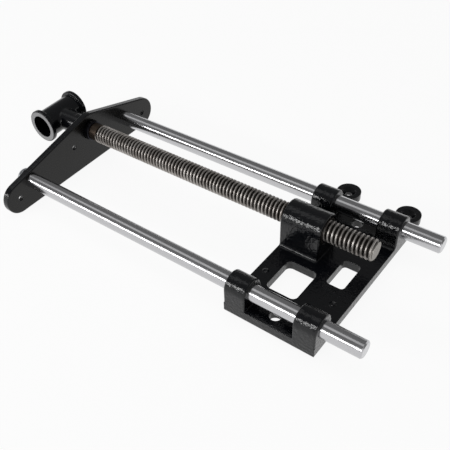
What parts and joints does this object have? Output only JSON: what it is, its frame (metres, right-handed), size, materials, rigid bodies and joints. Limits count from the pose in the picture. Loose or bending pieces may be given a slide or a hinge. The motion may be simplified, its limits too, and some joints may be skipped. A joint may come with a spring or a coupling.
{
  "type": "woodworking vise",
  "caption": "Bench front vise: cast jaw plate on sliding guide rods, turned by a lead screw with a tee handle hub, in a cast under-bench bracket.",
  "frame": {"origin": "centre of the bracket's flat face that bolts under the bench top", "axes": "+X along the guide rods from the jaw plate to the bracket, +Z away from the bench top, +Y across towards the lugs"},
  "size_m": [0.4504, 0.2281, 0.0586],
  "materials": {
    "black_casting": "gloss black paint on cast iron",
    "black_plate": "satin black paint on cast iron",
    "black_hub": "gloss black paint on cast iron",
    "bright_rod": "bright plated round bar",
    "screw_steel": "rolled thread, lightly oiled",
    "nut_steel": "turned and oiled",
    "zinc_screw": "zinc plated",
    "zinc_washer": "zinc plated",
    "pin_steel": "ground",
    "washer_steel": "plain steel",
    "collar_steel": "blackened steel"
  },
  "bodies": {
    "bracket": {"rear_bracket": "black_casting", "lead_nut": "nut_steel"},
    "carriage": {"jaw_plate": "black_plate", "guide_rod_near": "bright_rod", "guide_rod_far": "bright_rod", "rod_screws": "zinc_screw", "rod_washers": "zinc_washer"},
    "spindle": {"lead_screw": "screw_steel", "handle_hub": "black_hub", "hub_pin": "pin_steel", "thrust_washer": "washer_steel", "stop_collar": "collar_steel", "collar_pin": "pin_steel"}
  },
  "joints": [
    {"name": "jaw_slide", "type": "slide", "parent": "bracket", "child": "carriage", "axis": [1, 0, 0], "range_m": [-0.036, 0.248]},
    {"name": "spindle_turn", "type": "hinge", "parent": "carriage", "child": "spindle", "pos_m": [-0.31, 0.02, 0.035], "axis": [1, 0, 0], "continuous": true}
  ],
  "couplings": [
    {"joint": "spindle_turn", "follows": "jaw_slide", "rad_per_m": 1570.8}
  ]
}
